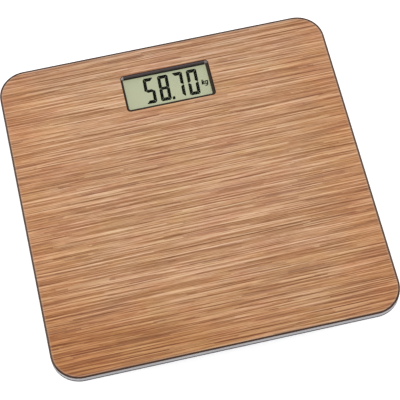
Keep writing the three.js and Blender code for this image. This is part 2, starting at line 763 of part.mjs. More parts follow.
// A path of straight runs with rounded bends between them.
function bentPath(points, bend) {
  const path = new THREE.CurvePath();
  let from = points[0];
  for (let i = 1; i + 1 < points.length; i++) {
    const corner = points[i];
    const before = corner.clone().add(from.clone().sub(corner).setLength(bend));
    const after = corner.clone().add(points[i + 1].clone().sub(corner).setLength(bend));
    path.add(new THREE.LineCurve3(from, before));
    path.add(new THREE.QuadraticBezierCurve3(before, corner, after));
    from = after;
  }
  path.add(new THREE.LineCurve3(from, points[points.length - 1]));
  return path;
}

function sensorLead(label, route, steps) {
  const points = route.map(([x, y]) => new THREE.Vector3(x, y, leadZ));
  const section = new THREE.Shape(
    roundedOutline(LEAD_THICKNESS, LEAD_WIDTH, LEAD_THICKNESS * 0.35, 1),
  );
  const geometry = new THREE.ExtrudeGeometry(section, {
    steps,
    extrudePath: bentPath(points, LEAD_BEND),
  });
  return named(`sensor_lead_${label}`, geometry, leadJacket);
}

function sensorLeads() {
  const group = new THREE.Group();
  const start = footOffset - LEAD_START;
  const housingNear = WINDOW_Y + nearEntryY;
  for (const side of [-1, 1]) {
    const word = side < 0 ? "left" : "right";
    const nearRoute = [
      [side * footOffset, -start],
      [side * footOffset, LEAD_SLANT_FROM_Y],
      [side * NEAR_ENTRY_X, LEAD_SLANT_TO_Y],
      [side * NEAR_ENTRY_X, housingNear + 3.5],
    ];
    group.add(sensorLead(`near_${word}`, nearRoute, 26));
    const farRoute = [
      [side * start, footOffset],
      [side * (HOUSING_WIDTH / 2 - 3.5), footOffset],
    ];
    group.add(sensorLead(`far_${word}`, farRoute, 4));
  }
  return group;
}

// A glued bridge over a lead, with the lead along its own Y.
function leadClip(name, x, y) {
  const bottom = leadZ - LEAD_THICKNESS / 2 - 1;
  const bridge = slab(CLIP_WIDTH, CLIP_LENGTH, 1.2, bottom, hungTop, 3);
  const channel = box(LEAD_CHANNEL, CLIP_LENGTH + 2, leadZ - LEAD_THICKNESS / 2 - FIT_GAP, hungTop + 1);
  const clip = named(name, cut(bridge, [channel]), whitePlastic);
  clip.position.set(x, y, 0);
  return clip;
}

function leadClips() {
  const group = new THREE.Group();
  for (const side of [-1, 1]) {
    const word = side < 0 ? "left" : "right";
    group.add(leadClip(`lead_clip_near_${word}`, side * footOffset, NEAR_CLIP_Y));
    group.add(leadClip(`lead_clip_middle_${word}`, side * NEAR_ENTRY_X, MIDDLE_CLIP_Y));
  }
  return group;
}

// ---- Assembly ----
const scale = new THREE.Group();
scale.add(surfaceLaminate(), platformBoard(), displayUnit());
for (const place of FEET) scale.add(foot(place));
scale.add(sensorLeads(), leadClips());

export default scale;
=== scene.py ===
import math

import bmesh
import bpy
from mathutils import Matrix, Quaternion, Vector


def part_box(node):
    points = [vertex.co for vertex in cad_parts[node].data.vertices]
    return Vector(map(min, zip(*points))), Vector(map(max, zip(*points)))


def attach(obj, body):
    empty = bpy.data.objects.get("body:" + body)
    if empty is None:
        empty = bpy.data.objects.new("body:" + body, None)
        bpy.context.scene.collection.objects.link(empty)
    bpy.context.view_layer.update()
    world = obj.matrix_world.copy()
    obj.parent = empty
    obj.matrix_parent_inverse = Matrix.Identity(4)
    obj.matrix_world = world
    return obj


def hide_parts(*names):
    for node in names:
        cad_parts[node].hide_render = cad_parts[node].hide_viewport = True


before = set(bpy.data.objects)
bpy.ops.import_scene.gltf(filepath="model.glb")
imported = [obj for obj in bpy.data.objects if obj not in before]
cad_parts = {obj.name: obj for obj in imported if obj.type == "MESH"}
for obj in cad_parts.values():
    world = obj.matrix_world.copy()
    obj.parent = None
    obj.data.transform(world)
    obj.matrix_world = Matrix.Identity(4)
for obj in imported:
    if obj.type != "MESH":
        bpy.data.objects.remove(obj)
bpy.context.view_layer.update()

MM = 0.001
CORNERS = ("near_left", "near_right", "far_left", "far_right")


def add_object(name, data):
    """A new object in the scene."""
    made = bpy.data.objects.new(name, data)
    bpy.context.scene.collection.objects.link(made)
    return made


# ---- Camera, light and floor ----


def add_camera():
    """A long lens, high over the near left side, turned a little about its own axis."""
    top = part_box("surface_laminate")[1].z
    aim = Vector((2.73 * MM, -11.8 * MM, top))
    distance = 1261 * MM
    azimuth = math.radians(-10.69)
    elevation = math.radians(64.06)
    roll = math.radians(2.25)
    ahead = Vector((math.sin(azimuth), -math.cos(azimuth), 0))
    back = ahead * math.cos(elevation) + Vector((0, 0, math.sin(elevation)))
    camera = add_object("camera", bpy.data.cameras.new("camera"))
    camera.data.sensor_width = 36
    camera.data.lens = 140
    camera.rotation_mode = "QUATERNION"
    camera.location = aim + back * distance
    level = (-back).to_track_quat("-Z", "Y")
    camera.rotation_quaternion = level @ Quaternion((0, 0, 1), -roll)
    bpy.context.scene.camera = camera


def add_area_light(name, place, width, power):
    """A square softbox that faces the middle of the scale."""
    lamp = bpy.data.lights.new(name, "AREA")
    lamp.shape = "SQUARE"
    lamp.size = width
    lamp.energy = power
    holder = add_object(name, lamp)
    holder.location = place
    holder.rotation_mode = "QUATERNION"
    holder.rotation_quaternion = (-Vector(place)).to_track_quat("-Z", "Y")


def light_studio():
    """Even white surroundings and two weak softboxes."""
    world = bpy.data.worlds.new("studio")
    world.use_nodes = True
    background = world.node_tree.nodes["Background"]
    background.inputs["Color"].default_value = (1, 1, 1, 1)
    background.inputs["Strength"].default_value = 0.84
    bpy.context.scene.world = world
    add_area_light("far_softbox", (0.25, 1.25, 1.35), 1.1, 3.2)
    add_area_light("left_softbox", (-1.1, -0.2, 0.9), 0.8, 1.2)
    bpy.context.scene.view_settings.view_transform = "Standard"


def add_floor():
    """A matte white floor, faintly glowing so that it stays white under the scale."""
    mesh = bpy.data.meshes.new("floor")
    half = 6.0
    corners = [(-half, -half, 0), (half, -half, 0), (half, half, 0), (-half, half, 0)]
    mesh.from_pydata(corners, [], [(0, 1, 2, 3)])
    floor = add_object("floor", mesh)
    paint = Finish("floor_paint", (0.85, 0.85, 0.85), 0.9, specular=0.1)
    paint.set("Emission Color", (1, 1, 1, 1))
    paint.set("Emission Strength", 0.62)
    mesh.materials.append(paint.material)


# ---- Material building ----


class Finish:
    """A procedural material being built: one Principled shader and the nodes that feed it."""

    def __init__(self, name, colour, roughness, metallic=0.0, specular=0.5):
        self.material = bpy.data.materials.new(name)
        self.material.use_nodes = True
        self.tree = self.material.node_tree
        self.shader = self.tree.nodes["Principled BSDF"]
        self.set("Base Color", (*colour, 1))
        self.set("Roughness", roughness)
        self.set("Metallic", metallic)
        self.set("Specular IOR Level", specular)
        self.place = self.tree.nodes.new("ShaderNodeTexCoord").outputs["Object"]

    def set(self, socket, value):
        self.shader.inputs[socket].default_value = value

    def node(self, kind, inputs=None, **settings):
        made = self.tree.nodes.new(kind)
        for key, value in settings.items():
            setattr(made, key, value)
        for key, value in (inputs or {}).items():
            if isinstance(value, bpy.types.NodeSocket):
                self.tree.links.new(value, made.inputs[key])
            else:
                made.inputs[key].default_value = value
        return made

    def feed(self, socket, source):
        self.tree.links.new(source, self.shader.inputs[socket])

    def along(self, axis):
        """The place along one axis of the shared frame, in metres."""
        return self.node("ShaderNodeSeparateXYZ", {"Vector": self.place}).outputs[axis]

    def moved(self, place, distance):
        """The place moved along Y, by metres."""
        inputs = {0: place, 1: self.node("ShaderNodeCombineXYZ", {"Y": distance}).outputs["Vector"]}
        return self.node("ShaderNodeVectorMath", inputs, operation="ADD").outputs["Vector"]

    def stretch(self, sizes, place=None):
        """Coordinates in which a cell measures the given sizes in millimetres."""
        scale = [1 / (extent * MM) for extent in sizes]
        inputs = {"Vector": place or self.place, "Scale": scale}
        return self.node("ShaderNodeMapping", inputs).outputs["Vector"]

    def noise(self, sizes, detail=2.0, roughness=0.5, place=None):
        """Soft noise from 0 to 1 whose blots measure the given sizes in millimetres."""
        inputs = {"Vector": self.stretch(sizes, place), "Scale": 1.0}
        inputs.update({"Detail": detail, "Roughness": roughness})
        return self.node("ShaderNodeTexNoise", inputs).outputs["Fac"]

    def cells(self, sizes, place=None):
        """An even value from 0 to 1 for each boxy cell of a scattered pattern."""
        inputs = {"Vector": self.stretch(sizes, place), "Scale": 1.0}
        made = self.node("ShaderNodeTexVoronoi", inputs, distance="CHEBYCHEV")
        split = self.node("ShaderNodeSeparateColor", {"Color": made.outputs["Color"]})
        return split.outputs["Red"]

    def math(self, operation, first, second=0.0):
        made = self.node("ShaderNodeMath", {0: first, 1: second}, operation=operation)
        return made.outputs["Value"]

    def spread(self, value, low, high, start=0.0, end=1.0):
        """The value moved from the range low..high to start..end, held inside it."""
        inputs = {"Value": value, "From Min": low, "From Max": high, "To Min": start, "To Max": end}
        made = self.node("ShaderNodeMapRange", inputs, interpolation_type="SMOOTHSTEP")
        return made.outputs["Result"]

    def mix(self, share, first, second, blend="MIX"):
        """The first colour with a share of the second mixed in, or blended in another way."""

        def colour(value):
            return value if isinstance(value, bpy.types.NodeSocket) else (*value, 1)

        inputs = {0: share, 6: colour(first), 7: colour(second)}
        return self.node("ShaderNodeMix", inputs, data_type="RGBA", blend_type=blend).outputs[2]

    def sheen(self, source, low, high):
        """Roughness that follows a pattern between two values."""
        self.feed("Roughness", self.spread(source, 0.3, 0.7, low, high))

    def bump(self, height, depth):
        """Relief of the given depth in millimetres."""
        inputs = {"Height": height, "Distance": depth * MM}
        self.feed("Normal", self.node("ShaderNodeBump", inputs).outputs["Normal"])


def srgb(red, green, blue):
    """A colour of 0 to 255 as the linear values that shaders take."""

    def linear(value):
        value /= 255
        return value / 12.92 if value <= 0.04045 else ((value + 0.055) / 1.055) ** 2.4

    return tuple(linear(value) for value in (red, green, blue))


# ---- Materials ----


WOOD_TONES = (  # from the darkest streaks to the palest
    (0.1, (130, 76, 35)),
    (0.31, (167, 114, 72)),
    (0.5, (193, 141, 98)),
    (0.69, (218, 169, 128)),
    (0.92, (244, 204, 169)),
)
WOOD_MIDDLE = 0.532  # where an average streak falls among the tones
STREAK = (80, 1.7, 50)
# The step below is used to paint each streak's relief as light and shade.
RELIEF_SHADE_STEP = 0.6 * MM  # over which the rise or fall of a streak is read


def wood_grain(f, place, streaks, band):
    """The tone of long fine streaks along X, each with a paler and a darker side: painted light
    and shade of their relief.
    """
    relief_shade_sample = f.noise(STREAK, 3.0, 0.55, f.moved(place, RELIEF_SHADE_STEP))
    fleck = f.noise((6, 0.9, 50), 1.0, place=place)
    strand = f.cells((64, 1.0, 500), place)
    # Painted light and shade: the slope of the streaks along Y pales one side of each and darkens
    # the other.
    level = f.math("MULTIPLY", f.math("SUBTRACT", streaks, relief_shade_sample), 1.26)
    for source, share in ((streaks, 1.0), (band, 0.1), (fleck, 0.28), (strand, 0.28)):
        level = f.math("ADD", level, f.math("MULTIPLY", f.math("SUBTRACT", source, 0.5), share))
    ramp = f.node("ShaderNodeValToRGB", {"Fac": f.math("ADD", level, WOOD_MIDDLE)})
    while len(ramp.color_ramp.elements) < len(WOOD_TONES):
        ramp.color_ramp.elements.new(0.5)
    for element, (position, colour) in zip(ramp.color_ramp.elements, WOOD_TONES):
        element.position = position
        element.color = (*srgb(*colour), 1)
    return ramp.outputs["Color"]


def wood_marks(f, place, tone):
    """The tone with patches of slightly different hue, pale and dark dashes, and soft clouds."""
    hue = f.noise((26, 11, 50), 1.0, place=place)
    blush = f.noise((22, 12, 50), 1.0, place=place)
    dash = f.noise((40, 0.9, 50), 1.0, place=place)
    gash = f.noise((46, 0.9, 50), 1.0, place=place)
    splinter = f.cells((34, 1.1, 500), place)
    cloud = f.noise((140, 45, 50))
    for source, none, full, tint in (
        (hue, 0.5, 0.7, (0.965, 0.95, 1.0)),
        (hue, 0.5, 0.3, (1.0, 1.0, 0.91)),
        (blush, 0.5, 0.7, (1.0, 0.945, 0.935)),
        (blush, 0.5, 0.3, (0.965, 1.0, 1.0)),
    ):
        tone = f.mix(f.spread(source, none, full), tone, tint, "MULTIPLY")
    for source, none, full, share, colour in (
        (dash, 0.64, 0.72, 0.5, (234, 196, 156)),
        (gash, 0.35, 0.27, 0.5, (142, 90, 62)),
        (splinter, 0.94, 0.96, 0.5, (238, 200, 158)),
        (splinter, 0.06, 0.04, 0.45, (140, 86, 62)),
    ):
        tone = f.mix(f.spread(source, none, full, 0.0, share), tone, srgb(*colour))
    return f.mix(f.spread(cloud, 0.35, 0.7), tone, (0.97, 0.955, 0.94), "MULTIPLY")


def wood_painted_light_and_shade(f, tone):
    """Painted light and shade: the tone deepened and warmed towards the near edge, most at its
    left, and towards both sides, and made a little duller and cooler along the far edge."""
    across, along = f.along("X"), f.along("Y")
    near = f.math("POWER", f.spread(along, -10 * MM, -136 * MM), 2.5)
    lean_left = f.spread(across, 130 * MM, -130 * MM, 0.35, 1.4)
    side = f.spread(f.math("ABSOLUTE", across), 70 * MM, 136 * MM)
    far = f.spread(along, 90 * MM, 125 * MM)
    # Painted shade towards the near edge and the sides, then the painted change along the far edge.
    tone = f.mix(f.math("MULTIPLY", near, lean_left), tone, (0.82, 0.67, 0.48), "MULTIPLY")
    tone = f.mix(side, tone, (0.95, 0.845, 0.74), "MULTIPLY")
    return f.mix(far, tone, (0.93, 0.93, 0.97), "MULTIPLY")


def wood_finish(name, fade=0.0):
    """Printed wood, lightly embossed, whose grain sways a little. The fade pales it, which paints
    the highlight along the rim.
    """
    f = Finish(name, srgb(189, 143, 107), 0.5, specular=0.4)
    sway = f.noise((150, 50, 50), 1.0)
    place = f.moved(f.place, f.math("MULTIPLY", f.math("SUBTRACT", sway, 0.5), 1.2 * MM))
    streaks = f.noise(STREAK, 3.0, 0.55, place)
    band = f.noise((110, 7, 50), place=place)
    tone = wood_painted_light_and_shade(f, wood_marks(f, place, wood_grain(f, place, streaks, band)))
    f.feed("Base Color", f.mix(fade, tone, srgb(192, 176, 164)))
    f.sheen(streaks, 0.44, 0.56)
    f.bump(f.math("ADD", streaks, f.math("MULTIPLY", band, 0.5)), 0.2)
    return f.material


def core_finish():
    """The laminate's dark core, bared by the bevel; a painted highlight makes it a little paler
    along the two sides.
    """
    f = Finish("laminate_core", srgb(70, 52, 43), 0.6, specular=0.12)
    grain = f.noise((6, 6, 0.15), 3.0)
    # Painted highlight on the bevels along the two sides.
    side = f.spread(f.math("ABSOLUTE", f.along("X")), 136 * MM, 138.6 * MM, 0.0, 0.7)
    tone = f.mix(grain, srgb(60, 43, 35), srgb(84, 62, 52))
    f.feed("Base Color", f.mix(side, tone, srgb(106, 84, 69)))
    f.bump(grain, 0.05)
    return f.material


def lacquer_finish():
    """Satin silver lacquer with fine flake and a little orange peel."""
    f = Finish("silver_lacquer", srgb(160, 157, 159), 0.42, 0.2, specular=0.3)
    flake = f.noise((0.25, 0.25, 0.25), 1.0)
    wear = f.noise((40, 40, 8), 3.0)
    tone = f.mix(flake, srgb(147, 143, 145), srgb(169, 165, 167))
    tone = f.mix(f.spread(wear, 0.4, 0.75, 0.0, 0.25), tone, srgb(138, 135, 138))
    f.feed("Base Color", tone)
    f.sheen(wear, 0.38, 0.5)
    f.bump(f.noise((1.2, 1.2, 1.2)), 0.012)
    return f.material


def undercoat_and_shade_finish():
    """Dull grey paint on the board's underside, and painted shade on its rounded lower edge and a
    narrow band of its side above that.
    """
    f = Finish("grey_undercoat_and_painted_shade", srgb(98, 97, 102), 0.8, specular=0.02)
    speckle = f.noise((0.8, 0.8, 0.8), 3.0)
    patch = f.noise((35, 35, 35), 3.0, 0.6)
    tone = f.mix(speckle, srgb(90, 89, 94), srgb(107, 106, 111))
    f.feed("Base Color", f.mix(f.spread(patch, 0.45, 0.7, 0.0, 0.4), tone, srgb(84, 83, 87)))
    f.bump(speckle, 0.03)
    return f.material


def bezel_finish():
    """Satin near-black plastic: browner on the lip, greyer with painted light where the far lip and
    wall catch it, black with painted shade in the unlit foot of the recess, and painted glints on
    the far wall's two inner corners."""
    f = Finish("bezel_plastic", srgb(52, 43, 41), 0.45, specular=0.15)
    spark = f.noise((0.3, 0.3, 0.3), roughness=0.6)
    flow = f.noise((18, 18, 6), 3.0, 0.6)
    tone = f.mix(flow, srgb(46, 35, 26), srgb(58, 45, 35))
    # Painted light on the far lip and wall, then painted shade in the recess's foot.
    far = f.spread(f.along("Y"), 113.2 * MM, 114.2 * MM)
    tone = f.mix(far, tone, srgb(84, 73, 76))
    foot = f.spread(f.along("Z"), 20.6 * MM, 19.4 * MM)
    tone = f.mix(foot, tone, srgb(20, 19, 19))
    # Painted glints: light grey on the far wall's two inner corners, stronger at the left.
    glint_far_wall = f.spread(f.along("Y"), 112.7 * MM, 113.3 * MM)
    glint_left_corner = f.spread(f.along("X"), -34.9 * MM, -35.5 * MM, 0.0, 0.85)
    glint_right_corner = f.spread(f.along("X"), 34.5 * MM, 35.1 * MM, 0.0, 0.42)
    corner = f.math("MULTIPLY", glint_far_wall, f.math("ADD", glint_left_corner, glint_right_corner))
    f.feed("Base Color", f.mix(corner, tone, srgb(168, 160, 158)))
    f.sheen(flow, 0.4, 0.5)
    f.bump(spark, 0.015)
    return f.material


def moulded_finish(name, colour, roughness, texture=0.4, relief=0.03):
    """Moulded plastic: a fine spark-eroded texture, faint flow marks and uneven sheen."""
    f = Finish(name, colour, roughness)
    spark = f.noise((texture,) * 3, roughness=0.6)
    flow = f.noise((30, 30, 12), 3.0, 0.6)
    darker = tuple(value * 0.94 for value in colour)
    paler = tuple(min(1, value * 1.06) for value in colour)
    f.feed("Base Color", f.mix(flow, darker, paler))
    f.sheen(flow, roughness - 0.06, roughness + 0.06)
    f.bump(spark, relief)
    return f.material


def rubber_finish():
    """Matte rubber with a fine powdery grain and a few paler scuffs."""
    f = Finish("black_rubber", srgb(52, 51, 50), 0.85)
    grain = f.noise((0.5, 0.5, 0.5), 3.0)
    scuff = f.noise((7, 7, 7), 4.0, 0.7)
    tone = f.mix(grain, srgb(44, 43, 43), srgb(60, 59, 58))
    f.feed("Base Color", f.mix(f.spread(scuff, 0.6, 0.75, 0.0, 0.35), tone, srgb(96, 93, 90)))
    f.sheen(grain, 0.78, 0.92)
    f.bump(grain, 0.05)
    return f.material


def metal_finish(name, colour, roughness, drawn=(6, 0.2, 6)):
    """Nickel-plated steel with fine drawn lines and a little tarnish."""
    f = Finish(name, colour, roughness, 1.0)
    lines = f.noise(drawn)
    tarnish = f.noise((5, 5, 5), 3.0)
    dull = tuple(value * 0.78 for value in colour)
    f.feed("Base Color", f.mix(f.spread(tarnish, 0.45, 0.75, 0.0, 0.6), colour, dull))
    f.sheen(lines, roughness - 0.07, roughness + 0.09)
    f.bump(lines, 0.01)
    return f.material


def circuit_finish():
    """Green solder mask over copper tracks that show as paler lines along X and Y."""
    f = Finish("circuit_board", srgb(38, 92, 52), 0.4)
    along_x = f.spread(f.cells((11, 0.6, 40)), 0.68, 0.7)
    along_y = f.spread(f.cells((0.6, 7, 40)), 0.86, 0.88)
    tracks = f.math("MAXIMUM", along_x, along_y)
    f.feed("Base Color", f.mix(tracks, srgb(32, 84, 46), srgb(54, 116, 66)))
    f.feed("Roughness", f.spread(tracks, 0.0, 1.0, 0.36, 0.44))
    f.bump(tracks, 0.03)
    return f.material


def lcd_painted_glow_finish():
    """The pale grey-green face of an LCD, a little uneven, with a painted glow that keeps shade off
    it in the recess.
    """
    f = Finish("lcd_glass", srgb(112, 115, 96), 0.35, specular=0.15)
    cloud = f.noise((26, 14, 20))
    grain = f.noise((0.18, 0.18, 0.18), 1.0)
    tone = f.mix(cloud, srgb(109, 111, 93), srgb(117, 121, 98))
    f.feed("Base Color", f.mix(f.spread(grain, 0.3, 0.7, 0.0, 0.1), tone, srgb(140, 142, 124)))
    f.sheen(cloud, 0.3, 0.4)
    # Painted light: the face glows though nothing lights it, so that no shade falls across it.
    f.feed("Emission Color", f.mix(cloud, srgb(184, 188, 159), srgb(190, 194, 158)))
    f.set("Emission Strength", 0.775)
    f.bump(grain, 0.004)
    return f.material


def ink_finish():
    """A switched-on LCD segment: nearly black, faintly green."""
    f = Finish("lcd_ink", srgb(12, 16, 5), 0.5, specular=0.03)
    cloud = f.noise((5, 5, 5))
    f.feed("Base Color", f.mix(cloud, srgb(8, 12, 3), srgb(20, 24, 11)))
    f.sheen(cloud, 0.45, 0.55)
    return f.material


def lens_finish():
    """A clear sheet with a faint smear that only shows in its sheen."""
    f = Finish("clear_lens", (0.02, 0.02, 0.02), 0.06)
    f.set("Alpha", 0.05)
    smear = f.noise((18, 9, 9), 3.0)
    f.feed("Roughness", f.spread(smear, 0.35, 0.7, 0.04, 0.14))
    return f.material


def make_finishes():
    """Every material, under the short name that the pieces use."""
    return {
        "wood": wood_finish("wood_laminate"),
        # Paler wood for the painted highlight just inside the bevel.
        "rim_highlight": wood_finish("wood_rim_highlight", 0.22),
        "core": core_finish(),
        "lacquer": lacquer_finish(),
        "undercoat_and_shade": undercoat_and_shade_finish(),
        "bezel": bezel_finish(),
        "button": moulded_finish("button_plastic", srgb(58, 56, 58), 0.5),
        "grey": moulded_finish("grey_plastic", srgb(206, 206, 202), 0.55, 0.45, 0.05),
        "white": moulded_finish("white_plastic", srgb(226, 224, 217), 0.5, 0.35, 0.03),
        "jacket": moulded_finish("lead_jacket", srgb(218, 214, 204), 0.6, 0.6, 0.03),
        "resin": moulded_finish("black_resin", srgb(22, 22, 23), 0.3, 1.2, 0.02),
        "rubber": rubber_finish(),
        "steel": metal_finish("nickel_steel", srgb(202, 201, 197), 0.3),
        "cell": metal_finish("coin_cell_can", srgb(206, 206, 204), 0.26, (0.25, 9, 9)),
        "circuit": circuit_finish(),
        "lcd": lcd_painted_glow_finish(),
        "ink": ink_finish(),
        "lens": lens_finish(),
    }


# ---- Mesh building ----

SIDES = 72  # of a round piece
HUB = 0.4  # radius at which a turned solid is filled in


def rounded_outline(width, depth, radius, steps, centre=(0, 0)):
    """Points of a rounded rectangle, anticlockwise, steps + 1 to a corner."""
    points = []
    for corner in range(4):
        sign_x = 1 if corner in (0, 3) else -1
        sign_y = 1 if corner < 2 else -1
        for step in range(steps + 1):
            angle = (corner + step / steps) * math.pi / 2
            x = centre[0] + sign_x * (width / 2 - radius) + radius * math.cos(angle)
            y = centre[1] + sign_y * (depth / 2 - radius) + radius * math.sin(angle)
            points.append((x, y))
    return points


def ring(width, depth, radius, z, steps, centre=(0, 0)):
    return [(x, y, z) for x, y in rounded_outline(width, depth, radius, steps, centre)]


def circle(radius, z, sides, centre=(0, 0)):
    turn = 2 * math.pi / sides
    return [
        (centre[0] + radius * math.cos(i * turn), centre[1] + radius * math.sin(i * turn), z)
        for i in range(sides)
    ]


def outward_mesh(name, vertices, faces):
    """A closed mesh of points given in millimetres, with its faces turned outwards."""
    mesh = bpy.data.meshes.new(name)
    mesh.from_pydata([Vector(vertex) * MM for vertex in vertices], [], faces)
    shape = bmesh.new()
    shape.from_mesh(mesh)
    bmesh.ops.recalc_face_normals(shape, faces=shape.faces)
    shape.to_mesh(mesh)
    shape.free()
    return mesh


def add_piece(name, shell, materials, slot, body="platform", smooth_angle=35, bands=None):
    """An object in the shared frame that rides on a body, from a shell: points and faces."""
    mesh = outward_mesh(name, *shell)
    for material in materials:
        mesh.materials.append(material)
    if bands is not None:
        mesh.polygons.foreach_set("material_index", bands)
    mesh.shade_smooth()
    mesh.set_sharp_from_angle(angle=math.radians(smooth_angle))
    piece = add_object(name, mesh)
    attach(piece, body)
    return piece


def bridge(rings, closed):
    """Quads between neighbouring rings, and from the last to the first if closed. With them, the
    number of the band that each quad belongs to."""
    count = len(rings[0])
    vertices = [point for loop in rings for point in loop]
    faces = []
    bands = []
    pairs = len(rings) if closed else len(rings) - 1
    for band in range(pairs):
        here = band * count
        ahead = ((band + 1) % len(rings)) * count
        for i in range(count):
            j = (i + 1) % count
            faces.append((here + i, here + j, ahead + j, ahead + i))
            bands.append(band)
    return vertices, faces, bands


def closed_shell(rings):
    """Points and faces of a closed shell through rings, the first and the last filled in."""
    vertices, faces, _ = bridge(rings, closed=False)
    count = len(rings[0])
    faces.append(tuple(range(count))[::-1])
    faces.append(tuple(range(len(vertices) - count, len(vertices))))
    return vertices, faces


def capped(name, rings, material, slot, **settings):
    """A closed solid through rings, with both ends filled in."""
    return add_piece(name, closed_shell(rings), [material], slot, **settings)


def frame_piece(name, rings, materials, band_material, slot, **settings):
    """A closed solid with a hole: the rings go up the outside, over, down the hole and back."""
    vertices, faces, bands = bridge(rings, closed=True)
    indices = [band_material.get(band, 0) for band in bands]
    return add_piece(name, (vertices, faces), materials, slot, bands=indices, **settings)


def turned(name, profile, centre, material, slot, sides=SIDES, **settings):
    """A solid of revolution. The profile lists (radius, height) from the lowest point on the axis,
    out, up and back to the axis, the two axis points left out."""
    rings = [circle(radius, z, sides, centre) for radius, z in profile]
    return capped(name, rings, material, slot, **settings)


def loose_object(shells):
    """An object, not yet part of the scale, that holds closed shells given as points and faces."""
    vertices = []
    faces = []
    for points, loops in shells:
        start = len(vertices)
        vertices += points
        faces += [tuple(start + i for i in loop) for loop in loops]
    return add_object("shells", outward_mesh("shells", vertices, faces))


JOIN_DISTANCE = 0.012 * MM  # within which the points of a union become one
SHY = 0.03  # keeps the faces of two joined shells out of one plane


def united(shells):
    """Points and faces of closed shells, joined where they overlap: the first with the rest."""
    holder = loose_object(shells[:1])
    others = loose_object(shells[1:])
    union = holder.modifiers.new("union", "BOOLEAN")
    union.operation = "UNION"
    union.solver = "EXACT"
    union.use_self = True
    union.object = others
    bpy.context.view_layer.update()
    joined = bmesh.new()
    joined.from_object(holder, bpy.context.evaluated_depsgraph_get())
    bmesh.ops.remove_doubles(joined, verts=joined.verts, dist=JOIN_DISTANCE)
    bmesh.ops.dissolve_degenerate(joined, edges=joined.edges, dist=JOIN_DISTANCE)
    joined.verts.index_update()
    vertices = [tuple(vertex.co / MM) for vertex in joined.verts]
    faces = [tuple(vertex.index for vertex in face.verts) for face in joined.faces]
    joined.free()
    for shell in (holder, others):
        mesh = shell.data
        bpy.data.objects.remove(shell)
        bpy.data.meshes.remove(mesh)
    return vertices, faces


def fillet(x0, z0, x1, z1, steps, convex=True):
    """Points of a quarter round from (x0, z0) to (x1, z1), without the first."""
    points = []
    for step in range(1, steps + 1):
        angle = step / steps * math.pi / 2
        along_x = math.sin(angle) if convex else 1 - math.cos(angle)
        along_z = 1 - math.cos(angle) if convex else math.sin(angle)
        points.append((x0 + (x1 - x0) * along_x, z0 + (z1 - z0) * along_z))
    return points


# ---- The CAD model's own places, in millimetres ----


def low(node):
    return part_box(node)[0] / MM


def high(node):
    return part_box(node)[1] / MM


def middle(node):
    return (low(node) + high(node)) / 2


def size(node):
    return high(node) - low(node)


def heights(node):
    return low(node).z, high(node).z


def centre_of(node):
    return middle(node).x, middle(node).y


# ---- Platform ----

CORNER_RADIUS = 23
CORNER_STEPS = 20
BEVEL_WIDTH = 1.5
BEVEL_DROP = 0.15
# A painted highlight: a band of paler wood just inside the bevel.
RIM_HIGHLIGHT_WIDTH = 1.1  # of paler wood inside the bevel
WINDOW = (75.8, 34.8)
WINDOW_RADIUS = 3
BEZEL_GAP = 0.3
FLANGE_GAP = 0.3
FLANGE_RADIUS = 4.7
SHEET_OVERLAP = 0.2  # of the wood sheet over the board's side
WINDOW_CENTRE = centre_of("window_bezel")


def platform_ring(node, inset, z):
    """The outline of the platform's board or sheet, drawn in by the inset."""
    side = size(node).x - 2 * inset
    return ring(side, side, CORNER_RADIUS - inset, z, CORNER_STEPS)


def wood_sheet(finish):
    """The laminate, with a narrow bevel that bares its core and a window through it."""
    top = high("surface_laminate").z
    bottom = low("surface_laminate").z - SHEET_OVERLAP

    def outer(inset, z):
        return platform_ring("surface_laminate", inset, z)

    def inner(grow, z):
        width, depth = (extent + 2 * grow for extent in WINDOW)
        return ring(width, depth, WINDOW_RADIUS + grow, z, CORNER_STEPS, WINDOW_CENTRE)

    rings = [
        outer(0, bottom),
        outer(0, top - BEVEL_DROP - 0.05),
        outer(0.05, top - BEVEL_DROP),
        outer(BEVEL_WIDTH - 0.06, top - 0.01),
        outer(BEVEL_WIDTH, top),
        outer(BEVEL_WIDTH + RIM_HIGHLIGHT_WIDTH, top),
        inner(0.15, top),
        inner(0, top - 0.12),
        inner(0, bottom),
    ]
    # The band inside the bevel takes the paler wood, a painted highlight.
    core, silver, rim_highlight = 1, 2, 3
    bands = {0: silver, 1: core, 2: core, 3: core, 4: rim_highlight, 6: core, 7: core, 8: core}
    finishes = [finish["wood"], finish["core"], finish["lacquer"], finish["rim_highlight"]]
    sheet = frame_piece("wood_sheet", rings, finishes, bands, "wood_laminate", smooth_angle=30)
    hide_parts("surface_laminate")


def silver_board(finish):
    """The board, lacquered at its side, with a rounded lower edge; that edge and a narrow band
    above it take the darker grey as painted shade, and the underside takes it as grey undercoat.
    """
    bottom, top = heights("platform_board")
    edge_round = 1.2
    painted_shade_band_height = 2.3
    steps = 8
    flange = size("window_bezel")

    def outer(inset, z):
        return platform_ring("platform_board", inset, z)

    def inner(z):
        width, depth = flange.x + 2 * FLANGE_GAP, flange.y + 2 * FLANGE_GAP
        return ring(width, depth, FLANGE_RADIUS, z, CORNER_STEPS, WINDOW_CENTRE)

    curve = [(edge_round, bottom), *fillet(edge_round, bottom, 0, bottom + edge_round, steps)]
    rings = [outer(inset, z) for inset, z in curve]
    rings += [outer(0, bottom + edge_round + painted_shade_band_height), outer(0, top), inner(top), inner(bottom)]
    # Painted shade: the rounded lower edge and the band above it; the last band, the underside, is
    # grey undercoat.
    undercoat_and_shade = {band: 1 for band in range(steps + 1)}
    undercoat_and_shade[len(rings) - 1] = 1
    finishes = [finish["lacquer"], finish["undercoat_and_shade"]]
    board = frame_piece("silver_board", rings, finishes, undercoat_and_shade, "silver_lacquer")
    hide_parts("platform_board")


# ---- Display ----

RIM = 1.7
THICKER_RIGHT_RIM = 0.8
LENS_REACH = 0.8


